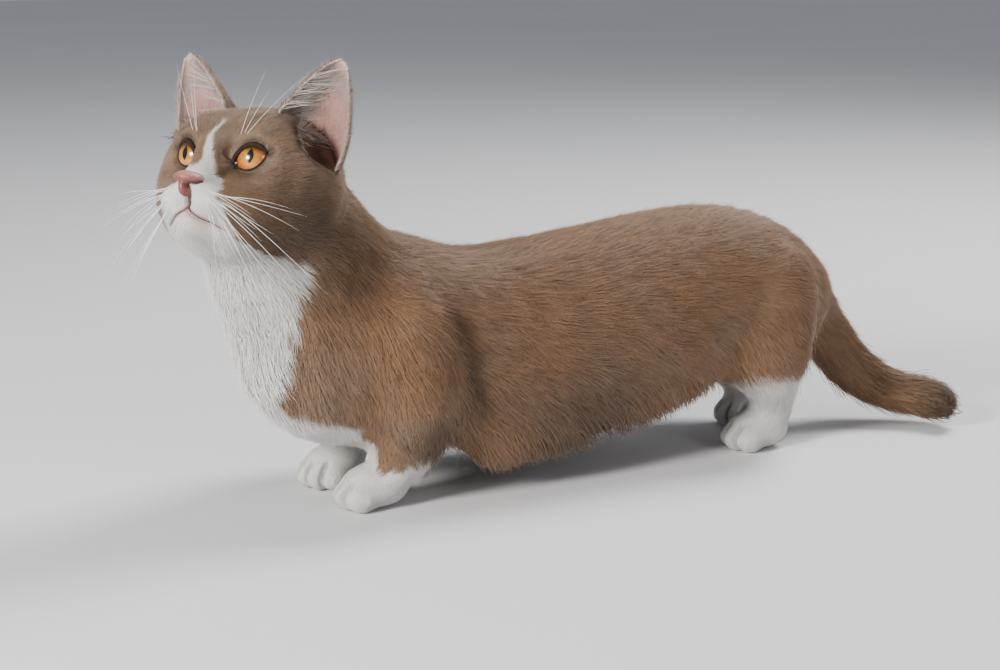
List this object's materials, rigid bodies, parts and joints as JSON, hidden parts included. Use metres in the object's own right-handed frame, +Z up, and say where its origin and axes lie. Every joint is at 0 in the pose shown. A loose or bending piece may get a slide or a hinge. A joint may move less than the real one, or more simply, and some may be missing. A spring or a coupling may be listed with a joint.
{
  "type": "cat figure",
  "caption": "Life-size still model of a short-legged house cat, standing with its head raised and turned to its left, long low body, folded short legs and a tail that curls near the floor.",
  "frame": {"origin": "on the floor, under the middle of the cat's bounding box", "axes": "+Z up, head towards -X, tail towards +X, the cat's left side towards -Y"},
  "size_m": [0.4489, 0.1275, 0.211],
  "materials": {
    "coat": "short plush coat, warm fawn",
    "white_coat": "short white coat",
    "ear": "thin ear leather, pink inside",
    "nose": "moist nose leather",
    "eye": "glossy amber eye"
  },
  "bodies": {
    "root": {"torso": "coat", "head": "coat", "neck": "coat", "tail_base": "coat", "tail_tip": "coat", "foreleg_left": "coat", "forepaw_left": "white_coat", "foreleg_right": "coat", "forepaw_right": "white_coat", "hindleg_left": "coat", "hindpaw_left": "white_coat", "hindleg_right": "coat", "hindpaw_right": "white_coat", "eye_left": "eye", "ear_left": "ear", "eye_right": "eye", "ear_right": "ear", "nose": "nose"}
  },
  "joints": []
}
